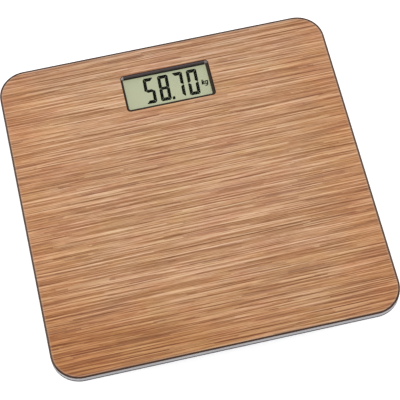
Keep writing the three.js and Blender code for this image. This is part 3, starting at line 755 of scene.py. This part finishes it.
def window_frame(finish):
    """The bezel: a rounded lip round the window, a straight wall down to the LCD and a flange that
    the laminate covers."""
    bottom, top = heights("window_bezel")
    flange = size("window_bezel")
    flange_top = low("surface_laminate").z - 0.4
    width, depth = (extent - 2 * BEZEL_GAP for extent in WINDOW)
    opening = [extent - 2 * RIM for extent in WINDOW]
    lip_radius = WINDOW_RADIUS - BEZEL_GAP
    hole_radius = 1.6
    rebate_top = high("display_lens").z + 0.1

    def loop(w, d, r, z):
        return ring(w, d, r, z, 10, WINDOW_CENTRE)

    def neck(inset, z):
        return loop(width - 2 * inset, depth - 2 * inset, lip_radius - inset, z)

    def hole(grow, z, trim=0.0):
        """The opening, grown all round and trimmed at its right end."""
        wide = opening[0] - trim + 2 * grow
        aside = (WINDOW_CENTRE[0] - trim / 2, WINDOW_CENTRE[1])
        return ring(wide, opening[1] + 2 * grow, hole_radius + grow, z, 10, aside)

    rings = [
        loop(flange.x, flange.y, FLANGE_RADIUS, bottom),
        loop(flange.x, flange.y, FLANGE_RADIUS, flange_top),
        neck(0, flange_top),
        neck(0, top - 0.35),
        neck(0.1, top - 0.1),
        neck(0.35, top),
        hole(0.4, top, THICKER_RIGHT_RIM),
        hole(0.12, top - 0.12, THICKER_RIGHT_RIM),
        hole(0, top - 0.4, THICKER_RIGHT_RIM),
        hole(0, rebate_top, THICKER_RIGHT_RIM),
        hole(LENS_REACH + 0.2, rebate_top),
        hole(LENS_REACH + 0.2, bottom),
    ]
    bezel = frame_piece("window_frame", rings, [finish["bezel"]], {}, "dark_plastic")
    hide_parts("window_bezel")


def clear_lens(finish):
    """A clear sheet with a small bevel all round."""
    span = size("display_lens")
    bottom, top = heights("display_lens")
    bevel = 0.1
    rings = [
        ring(span.x - 2 * inset, span.y - 2 * inset, 1 - inset, z, 6, WINDOW_CENTRE)
        for inset, z in ((bevel, bottom), (0, bottom + bevel), (0, top - bevel), (bevel, top))
    ]
    lens = capped("clear_lens", rings, finish["lens"], "clear_plastic")
    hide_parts("display_lens")


def lcd_face(finish):
    """Two glass plates, the upper one shorter, with the polariser's film on top."""
    span = size("lcd_panel")
    bottom, top = heights("lcd_panel")
    split = (top + bottom) / 2
    wide, short = span.x - 0.02, span.y - 2.4
    film = top - 0.25
    film_inset = 0.4
    rings = [
        ring(width, depth, radius, z, 4, WINDOW_CENTRE)
        for width, depth, radius, z in (
            (span.x, span.y, 0.6, bottom),
            (span.x, span.y, 0.6, split),
            (wide, short, 0.6, split),
            (wide, short, 0.6, film),
            (span.x - film_inset, short - film_inset, 0.5, film),
            (span.x - film_inset, short - film_inset, 0.5, top),
        )
    ]
    panel = capped("lcd_face", rings, finish["lcd"], "lcd_glass")
    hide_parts("lcd_panel")


DIGIT_WIDTH = 9.1
DIGIT_HEIGHT = 24.95
DIGIT_PITCH = 12.45
DIGIT_LEAN = math.tan(math.radians(2.5))
UPRIGHT = 2.75  # how wide the upright segments are
LEVEL = 3.25  # and the level ones
SEGMENT_GAP = 0.09
FIRST_DIGIT_X = -15.42
DIGIT_RISE = 1.28  # of the digits' middle above the window's
BAR_DROP = 0.2  # of the middle segment below the digits' middle
POINT_WIDTH = 2.25
POINT_HEIGHT = 2.9
POINT_X = 3.5
POINT_DROP = 0.3
READING = "5870"  # its decimal point is drawn on its own
SEGMENTS = {"0": "abcdef", "5": "acdfg", "7": "abc", "8": "abcdefg"}


def segment_outlines():
    """The seven segments of a digit about its middle, unslanted. Outer corners are cut off and the
    ends are mitred, with a gap between neighbours."""
    w, h, g = DIGIT_WIDTH / 2, DIGIT_HEIGHT / 2, SEGMENT_GAP
    cut = 1.15
    tip = 0.9
    level = [
        (-w + cut + g, h),
        (w - cut - g, h),
        (w - cut / 2 - g, h - cut / 2 + g / 2),
        (w - UPRIGHT - g, h - LEVEL),
        (-w + UPRIGHT + g, h - LEVEL),
        (-w + cut / 2 + g, h - cut / 2 + g / 2),
    ]

    def upright(middle):
        return [
            (w, h - cut - g),
            (w, middle + g + 0.5),
            (w - tip, middle + g),
            (w - UPRIGHT, middle + g + LEVEL / 2 - 0.2),
            (w - UPRIGHT, h - LEVEL - g),
            (w - cut / 2, h - cut / 2 - g),
        ]

    half = LEVEL / 2 - 0.2
    bar = [
        (-w + tip + g, -BAR_DROP),
        (-w + UPRIGHT, half - BAR_DROP),
        (w - UPRIGHT, half - BAR_DROP),
        (w - tip - g, -BAR_DROP),
        (w - UPRIGHT, -half - BAR_DROP),
        (-w + UPRIGHT, -half - BAR_DROP),
    ]
    above, below = upright(-BAR_DROP), upright(BAR_DROP)
    return {
        "a": level,
        "b": above,
        "c": [(x, -y) for x, y in below],
        "d": [(x, -y) for x, y in level],
        "e": [(-x, -y) for x, y in below],
        "f": [(-x, y) for x, y in above],
        "g": bar,
    }


def decimal_point():
    """A rounded block at the foot of the digits, about their middle."""
    foot = -DIGIT_HEIGHT / 2 - POINT_DROP
    centre = (POINT_X, foot + POINT_HEIGHT / 2)
    return rounded_outline(POINT_WIDTH, POINT_HEIGHT, 0.6, 3, centre)


def films(outlines, bottom, top, centre):
    """Flat shells with the given outlines."""
    shells = []
    for outline in outlines:
        rings = [[(centre[0] + x, centre[1] + y, z) for x, y in outline] for z in (bottom, top)]
        shells.append(closed_shell(rings))
    return shells


def lcd_film(name, outlines, finish):
    """Outlines given about the window's middle, as thin films on the LCD's face."""
    level = high("lcd_panel").z
    film = united(films(outlines, level + 0.01, level + 0.04, WINDOW_CENTRE))
    add_piece(name, film, [finish["ink"]], "lcd_glass")


def lcd_digits(finish):
    """The lit segments of 58.70."""
    outlines = segment_outlines()
    flat = [(0, decimal_point())]
    for place, figure in enumerate(READING):
        x0 = FIRST_DIGIT_X + place * DIGIT_PITCH
        flat += [(x0, outlines[segment]) for segment in SEGMENTS[figure]]
    leaning = [
        [(x0 + x + y * DIGIT_LEAN, DIGIT_RISE + y) for x, y in outline] for x0, outline in flat
    ]
    lcd_film("lcd_digits", leaning, finish)


def stroke(points, width):
    """The outline of a line of even width drawn through the points."""
    left = []
    right = []
    for i, point in enumerate(points):
        here = Vector(point)
        before = (here - Vector(points[i - 1])).normalized() if i else None
        after = (Vector(points[i + 1]) - here).normalized() if i + 1 < len(points) else None
        ahead = ((before or after) + (after or before)).normalized()
        across = Vector((-ahead.y, ahead.x))
        half = width / 2 / max(0.5, ahead.dot(after or before))
        left.append(tuple(here + across * half))
        right.append(tuple(here - across * half))
    return left + right[::-1]


UNIT_SIGN_PLACE = (28.55, -3.05)  # of the foot of the k from the window's middle
UNIT_SIGN_LEAN = 0.14


def lcd_unit_sign(finish):
    """The small unit beside the figures, kg, drawn in strokes."""
    bowl = []
    for step in range(15):
        angle = math.radians(35 + 290 * step / 14)
        bowl.append((4.0 + 1.1 * math.cos(angle), 1.8 + 1.35 * math.sin(angle)))
    strokes = [
        stroke([(0.5, 0), (0.5, 4.8)], 1.2),
        stroke([(0.7, 1.3), (2.2, 3.4)], 1.0),
        stroke([(1.1, 1.9), (2.3, 0)], 1.1),
        stroke(bowl, 0.95),
        stroke([(5.0, 3.4), (5.0, -0.4), (4.6, -1.1), (3.8, -1.35), (2.95, -1.1)], 1.1),
    ]
    x0, y0 = UNIT_SIGN_PLACE
    outlines = [[(x0 + x + y * UNIT_SIGN_LEAN, y0 + y) for x, y in line] for line in strokes]
    lcd_film("lcd_unit_sign", outlines, finish)


# ---- Feet ----

# Towards its lead, in half turns from +X.
FOOT_TURNS = {"near_left": 0.5, "near_right": 0.5, "far_left": 0.0, "far_right": 1.0}
FOOT_BORE = 19.7
FOOT_WALL = 21.5
FOOT_FLANGE = 24
FLANGE_THICKNESS = 1.5
FOOT_CEILING = 11.6  # above the floor, and so are the next two
BOSS_FACE = 9.9
WALL_GROOVE = 8.5
EAR_ROOT = 19  # from the foot's middle, as the next is
EAR_DISTANCE = 27
EAR_RADIUS = 4.6
EAR_THICKNESS = 2.4
TUNNEL = (6.2, 6.4, 2.2)  # length, width and height
PAD_RECESS = 15.3


def placed(points, label):
    """Points of a foot's own frame, where the lead leaves along +X, in the shared frame."""
    x0, y0 = centre_of(f"foot_pad_{label}")
    angle = FOOT_TURNS[label] * math.pi
    c, s = math.cos(angle), math.sin(angle)
    return [(x0 + x * c - y * s, y0 + x * s + y * c, z) for x, y, z in points]


def lug(length, width, centre, bottom, top):
    """The shell of an upright lug with rounded ends and a rounded lower edge."""
    half = min(length, width) / 2
    edge = 0.5
    levels = [(edge, bottom), (0.3 * edge, bottom + 0.3 * edge), (0, bottom + edge), (0, top - SHY)]
    rings = []
    for inset, z in levels:
        size_x, size_y = length - 2 * inset, width - 2 * inset
        rings.append(ring(size_x, size_y, half - inset - 0.01, z, 8, centre))
    return closed_shell(rings)


def gusset(angle, top):
    """The shell of a small triangular rib between a foot's wall and its flange."""
    inner, outer = FOOT_WALL - 0.3, FOOT_FLANGE - 0.4
    low_end = 9.6
    side = [(inner, low_end), (inner, top), (outer, top), (outer, top - 0.5)]
    c, s = math.cos(angle), math.sin(angle)
    return closed_shell(
        [[(r * c - aside * s, r * s + aside * c, z) for r, z in side] for aside in (-0.6, 0.6)]
    )


def foot_shell(label, finish):
    """The fixed part of a foot: a skirt with a flange, ribs, two screw ears and a lead tunnel."""
    node = f"foot_housing_{label}"
    bottom, top = heights(node)
    flange_z = top - FLANGE_THICKNESS
    groove = [(0, 0), (0.18, 0.1), (0.18, 0.3), (0, 0.4)]
    profile = [
        (HUB, BOSS_FACE), (3, BOSS_FACE), (4, BOSS_FACE + 0.6), (4, FOOT_CEILING),
        (FOOT_BORE, FOOT_CEILING), (FOOT_BORE, bottom + 0.3), (FOOT_BORE + 0.25, bottom),
        (FOOT_WALL - 0.6, bottom),
        *fillet(FOOT_WALL - 0.6, bottom, FOOT_WALL, bottom + 0.6, 4),
        *((FOOT_WALL - inset, WALL_GROOVE + rise) for inset, rise in groove),
        (FOOT_WALL, flange_z - 0.8),
        *fillet(FOOT_WALL, flange_z - 0.8, FOOT_WALL + 0.8, flange_z, 4, convex=False),
        (FOOT_FLANGE - 0.4, flange_z),
        *fillet(FOOT_FLANGE - 0.4, flange_z, FOOT_FLANGE, flange_z + 0.4, 3),
        (FOOT_FLANGE, top), (HUB, top),
    ]
    shells = [closed_shell([circle(radius, z, SIDES) for radius, z in profile])]
    ear_length = EAR_DISTANCE + EAR_RADIUS - EAR_ROOT
    ear_middle = EAR_DISTANCE + EAR_RADIUS - ear_length / 2
    for y in (-ear_middle, ear_middle):
        shells.append(lug(2 * EAR_RADIUS, ear_length, (0, y), top - EAR_THICKNESS, top))
    length, width, height = TUNNEL
    shells.append(lug(length, width, (FOOT_FLANGE - 1, 0), top - height, top))
    for quarter in range(4):
        for within in (math.pi / 6, math.pi / 3):
            shells.append(gusset(quarter * math.pi / 2 + within, flange_z + 0.1))
    whole = united([(placed(points, label), loops) for points, loops in shells])
    shell = add_piece(f"foot_shell_{label}", whole, [finish["white"]], "white_plastic")
    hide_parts(node)


def foot_button(label, finish):
    """The moving part of a foot: a cup with a rounded rim that holds the rubber pad."""
    node = f"foot_cap_{label}"
    bottom, top = heights(node)
    radius = size(node).x / 2
    corner = 1.5
    seat = top - 1.4
    rim = (11, 13.2)  # inner and outer radius
    floor = bottom + 1.8
    ceiling = bottom + 0.6
    profile = [
        (HUB, ceiling), (PAD_RECESS, ceiling), (PAD_RECESS, bottom + 0.15),
        (PAD_RECESS + 0.15, bottom), (radius - corner, bottom),
        *fillet(radius - corner, bottom, radius, bottom + corner, 6),
        (radius, seat - 0.3), (radius - 0.2, seat), (rim[1], seat), (rim[1], top),
        (rim[0], top), (rim[0], floor), (HUB, floor),
    ]
    cup = turned(
        f"foot_button_{label}", profile, centre_of(node), finish["white"], "white_plastic",
        body=f"foot_{label}",
    )
    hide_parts(node)


def foot_pad(label, finish):
    """A rubber disc with raised rings on its underside."""
    node = f"foot_pad_{label}"
    radius = size(node).x / 2
    top = high(node).z
    pitch = 2.6
    groove = 0.45
    edge = 2.9
    profile = [(HUB, groove), (edge - 0.4, groove), (edge, 0)]
    while edge + pitch < radius - 1:
        edge += pitch
        profile += [(edge - 0.8, 0), (edge - 0.6, groove), (edge - 0.2, groove), (edge, 0)]
    profile += [(radius - 0.8, 0)]
    profile += fillet(radius - 0.8, 0, radius, 0.8, 5)
    profile += [(radius, top), (HUB, top)]
    pad = turned(
        f"rubber_pad_{label}", profile, centre_of(node), finish["rubber"], "black_rubber",
        body=f"foot_{label}",
    )
    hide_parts(node)


# ---- Unit button and leads ----


def unit_button(finish):
    """A round key with a shallow dish for the fingertip."""
    bottom, top = heights("unit_button")
    profile = [
        (0.3, bottom + 0.4), (1.6, bottom + 0.35), (2.8, bottom + 0.15), (3.4, bottom),
        (3.9, bottom),
        *fillet(3.9, bottom, 4.5, bottom + 0.6, 4),
        (4.5, top - 0.8), (6, top - 0.8), (6, top), (0.3, top),
    ]
    key = turned(
        "unit_key", profile, centre_of("unit_button"), finish["button"], "dark_plastic", sides=48,
        body="unit_button",
    )
    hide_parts("unit_button")


LEAD_BEND = 14
CORE_PITCH = 1.15
CORE_RADIUS = 0.55


def ribbon_section():
    """Outline of three cores side by side, as (across, up)."""
    samples = 24
    reach = CORE_PITCH + CORE_RADIUS
    above = []
    for step in range(samples + 1):
        across = reach * (2 * step / samples - 1)
        nearest = min(abs(across - core * CORE_PITCH) for core in (-1, 0, 1))
        rise = math.sqrt(max(0, CORE_RADIUS**2 - nearest**2))
        above.append((across, max(0.04, rise)))
    return above + [(across, -up) for across, up in reversed(above)]


def bent_path(corners, bend, steps):
    """Points along straight runs with rounded bends, each with its direction."""
    corners = [Vector(corner) for corner in corners]
    points = [corners[0]]
    for before, corner, after in zip(corners, corners[1:], corners[2:]):
        start = corner + (before - corner).normalized() * bend
        end = corner + (after - corner).normalized() * bend
        for step in range(steps + 1):
            t = step / steps
            points.append(start * (1 - t) ** 2 + corner * 2 * t * (1 - t) + end * t**2)
    points.append(corners[-1])
    path = []
    for i, point in enumerate(points):
        ahead = points[min(i + 1, len(points) - 1)] - points[max(i - 1, 0)]
        path.append((point, ahead.normalized()))
    return path


def lead_corners(label):
    """A lead's route from its load cell into the housing: straight from a far foot, and with two
    bends from a near one."""
    x0, y0 = centre_of(f"foot_pad_{label}")
    side = 1 if x0 > 0 else -1
    start = 13
    inside = 3.5
    if label.startswith("far"):
        edge = high("display_housing").x if side > 0 else low("display_housing").x
        return [(x0 - side * start, y0), (edge - side * inside, y0)]
    entry = side * 30
    end_y = low("display_housing").y + inside
    return [(x0, y0 + start), (x0, -15), (entry, 25), (entry, end_y)]


def sensor_ribbon(label, finish):
    """A flat three-core lead that lies along its route."""
    node = f"sensor_lead_{label}"
    level = middle(node).z
    section = ribbon_section()
    rings = []
    for point, ahead in bent_path(lead_corners(label), LEAD_BEND, 14):
        loop = [
            (point.x - ahead.y * across, point.y + ahead.x * across, level + up)
            for across, up in section
        ]
        rings.append(loop)
    lead = capped(
        f"sensor_ribbon_{label}", rings, finish["jacket"], "lead_jacket", smooth_angle=60
    )
    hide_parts(node)


# ---- Screws and coin cell ----

CROSS_LENGTH = 3.3
CROSS_WIDTH = 0.95
CROSS_DEPTH = 0.8
SHAFT_RADIUS = 1.4
HEAD_HEIGHT = 1.4
POINT_LENGTH = 1.2
SCREW_TURN = 1.7  # from each screw to the next, so that no two crosses look lined up


def cross_angles():
    """Directions that catch every corner of a cross, eight to a quarter turn."""
    arm = math.atan(CROSS_WIDTH / CROSS_LENGTH)
    quarter = math.pi / 2
    between = [math.radians(degrees) for degrees in (26, 36, 45, 54, 64)]
    steps = [0, arm, *between, quarter - arm]
    return [turn * quarter + step for turn in range(4) for step in steps]


def cross_reach(angle):
    """How far a cross reaches from its middle in a direction."""
    from_arm = (angle + math.pi / 4) % (math.pi / 2) - math.pi / 4
    end = CROSS_LENGTH / 2 / math.cos(from_arm)
    side = CROSS_WIDTH / 2 / max(0.001, abs(math.sin(from_arm)))
    return min(end, side)


def screw(node, turn, finish):
    """A pan-head screw seen from its head, which faces down, with a tapered cross recess."""
    place = middle(node)
    face, tip = heights(node)
    angles = cross_angles()

    def loop(z, radius, share=0.0):
        """A ring at a height: a circle, or a share of the cross's outline."""
        points = []
        for angle in angles:
            reach = radius + share * cross_reach(angle)
            x = place.x + reach * math.cos(angle + turn)
            points.append((x, place.y + reach * math.sin(angle + turn), z))
        return points

    rings = [
        loop(face + CROSS_DEPTH, 0.1),
        loop(face + CROSS_DEPTH, 0, 0.62),
        loop(face + 0.06, 0, 0.97),
        loop(face, 0, 1.03),
    ]
    profile = [(1.85, 0.02), (2.2, 0.12), (2.5, 0.36), (2.66, 0.7), (2.7, 1.0), (2.7, HEAD_HEIGHT)]
    profile += [(SHAFT_RADIUS, HEAD_HEIGHT), (SHAFT_RADIUS, tip - face - POINT_LENGTH)]
    profile += [(0.2, tip - face)]
    rings += [loop(face + z, radius) for radius, z in profile]
    made = capped(f"{node}_pan_head", rings, finish["steel"], "nickel_steel", smooth_angle=30)
    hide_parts(node)


def coin_cell(finish):
    """A lithium coin cell, its wider positive face down, with a generic plus sign on it."""
    x0, y0 = centre_of("coin_cell")
    face, top = heights("coin_cell")
    radius = size("coin_cell").x / 2
    dish = 8.5  # radius of the slightly sunk middle
    profile = [
        (HUB, face + 0.06), (dish - 0.2, face + 0.06), (dish, face),
        (radius - 0.35, face), (radius - 0.1, face + 0.1), (radius, face + 0.35),
        (radius, top - 0.55), (radius - 0.3, top - 0.35), (radius - 0.9, top - 0.3),
        (radius - 1, top - 0.45), (radius - 1.2, top - 0.4), (radius - 1.2, top - 0.1),
        (radius - 1.35, top), (HUB, top),
    ]
    cell = turned("lithium_cell", profile, (x0, y0), finish["cell"], "nickel_steel")
    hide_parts("coin_cell")
    arm = 1.6
    thickness = 0.55
    bars = [stroke([(-arm, 0), (arm, 0)], thickness), stroke([(0, -arm), (0, arm)], thickness)]
    sign = united(films(bars, face + 0.03, face + 0.07, (x0, y0 + 4)))
    add_piece("cell_plus_sign", sign, [finish["ink"]], "nickel_steel")


# ---- Small mouldings on the display unit ----


def button_ring(finish):
    """A raised ring round the unit button's hole, for the fingertip to find."""
    face = low("housing_cover").z
    proud = 0.35
    inner = 5.1
    outer = 6.3
    profile = [
        (inner, face + 0.1), (inner, face - proud + 0.15),
        *fillet(inner, face - proud + 0.15, inner + 0.15, face - proud, 3),
        (outer - 0.3, face - proud),
        *fillet(outer - 0.3, face - proud, outer, face - proud + 0.3, 3),
        (outer, face + 0.1),
    ]
    rings = [circle(radius, z, SIDES, centre_of("unit_button")) for radius, z in profile]
    frame_piece("button_ring", rings, [finish["grey"]], {}, "grey_plastic")


def door_arrow(finish):
    """A raised arrowhead that points the way the battery door slides."""
    ridge_height = 0.2
    face = low("battery_door").z + ridge_height
    proud = 0.35
    place = middle("battery_door")
    tip_y = place.y + 1
    middle_y = tip_y + 2.4
    outline = [(place.x, tip_y), (place.x + 3, tip_y + 3.6), (place.x - 3, tip_y + 3.6)]
    inner = [(place.x + 0.8 * (x - place.x), middle_y + 0.8 * (y - middle_y)) for x, y in outline]
    rings = [[(x, y, face + 0.05) for x, y in outline], [(x, y, face - proud) for x, y in inner]]
    capped(
        "door_arrow", rings, finish["grey"], "grey_plastic", body="battery_door", smooth_angle=10
    )


# ---- Everything else that keeps its CAD shape ----


WELD_DISTANCE = 0.002 * MM
SHARP_ANGLE = math.radians(32)


def soften(node, material, width=0):
    """A better material for a CAD part, and small rounded edges if a width is given."""
    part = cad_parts[node]
    part.data.materials.clear()
    part.data.materials.append(material)
    weld = part.modifiers.new("weld", "WELD")
    weld.merge_threshold = WELD_DISTANCE
    if width:
        bevel = part.modifiers.new("bevel", "BEVEL")
        bevel.limit_method = "ANGLE"
        bevel.angle_limit = SHARP_ANGLE
        bevel.width = width * MM
        bevel.segments = 2
        bevel.use_clamp_overlap = True
    else:
        split = part.modifiers.new("split", "EDGE_SPLIT")
        split.split_angle = SHARP_ANGLE
    for polygon in part.data.polygons:
        polygon.use_smooth = True


def dress_cad(finish):
    """The parts that keep their CAD shape. Only the larger ones get rounded edges."""
    for node in ("display_housing", "housing_cover", "battery_door"):
        soften(node, finish["grey"], 0.25)
    for word in ("near_left", "near_right", "middle_left", "middle_right"):
        soften(f"lead_clip_{word}", finish["white"], 0.2)
    soften("lcd_holder", finish["white"])
    soften("main_board", finish["circuit"])
    for node in ("zebra_strip_near", "zebra_strip_far"):
        soften(node, finish["rubber"])
    for node in ("chip_cover", "unit_switch"):
        soften(node, finish["resin"])
    for node in ("battery_contact_negative", "battery_contact_positive"):
        soften(node, finish["steel"])
    for label in CORNERS:
        soften(f"strain_gauge_{label}", finish["white"])
        soften(f"load_cell_{label}", finish["steel"])


def build():
    add_camera()
    light_studio()
    add_floor()
    finish = make_finishes()
    wood_sheet(finish)
    silver_board(finish)
    window_frame(finish)
    clear_lens(finish)
    lcd_face(finish)
    lcd_digits(finish)
    lcd_unit_sign(finish)
    for label in CORNERS:
        foot_shell(label, finish)
        foot_button(label, finish)
        foot_pad(label, finish)
        sensor_ribbon(label, finish)
    screws = [f"cover_screw_{i + 1}" for i in range(4)]
    screws += [f"foot_screw_{label}_{end}" for label in CORNERS for end in "ab"]
    for i, node in enumerate(screws):
        screw(node, SCREW_TURN * i, finish)
    coin_cell(finish)
    unit_button(finish)
    button_ring(finish)
    door_arrow(finish)
    dress_cad(finish)


build()
